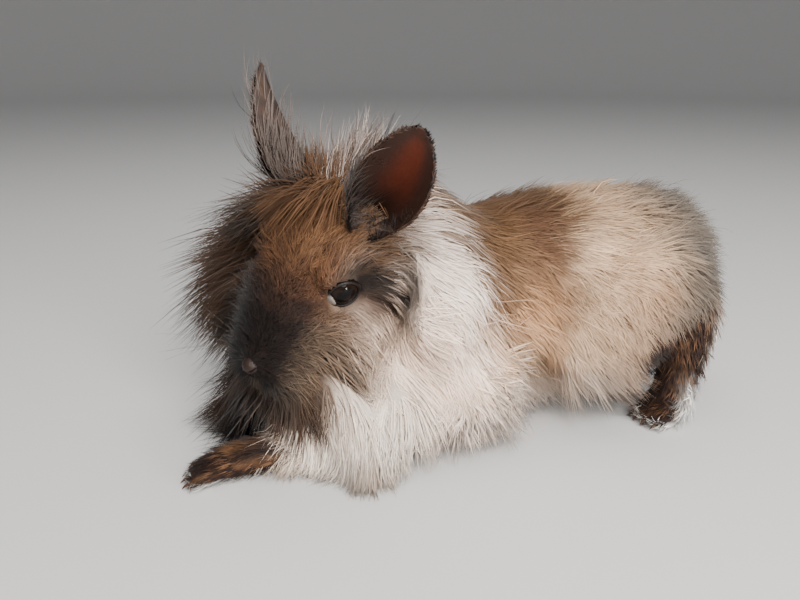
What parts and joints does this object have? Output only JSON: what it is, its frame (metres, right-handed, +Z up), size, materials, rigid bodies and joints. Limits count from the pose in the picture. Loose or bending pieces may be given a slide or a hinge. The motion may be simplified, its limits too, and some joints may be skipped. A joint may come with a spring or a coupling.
{
  "type": "lionhead rabbit",
  "caption": "Still, life-size lionhead rabbit stretching low: chest down over its forelegs, hind feet on their toes, maned head turned to its left.",
  "frame": {"origin": "on the floor, under the middle of the whole model", "axes": "+Z up; the rabbit faces -Y, and its left side is towards +X"},
  "size_m": [0.1396, 0.3088, 0.1801],
  "materials": {
    "fawn": "short agouti fur, golden fawn ticked with dark brown",
    "cream": "long soft cream hair",
    "sable": "short dark sepia fur",
    "eye": "wet, glossy, near black"
  },
  "bodies": {
    "root": {"torso": "fawn", "neck": "fawn", "head": "fawn", "tail": "cream", "eye_left": "eye", "eye_right": "eye", "ear_left": "sable", "ear_right": "sable", "foreleg_left": "fawn", "foreleg_right": "fawn", "thigh_left": "fawn", "thigh_right": "fawn", "hind_foot_left": "sable", "hind_foot_right": "sable", "mane_nape": "cream", "mane_left": "cream", "mane_right": "cream", "bib": "cream"}
  },
  "joints": []
}
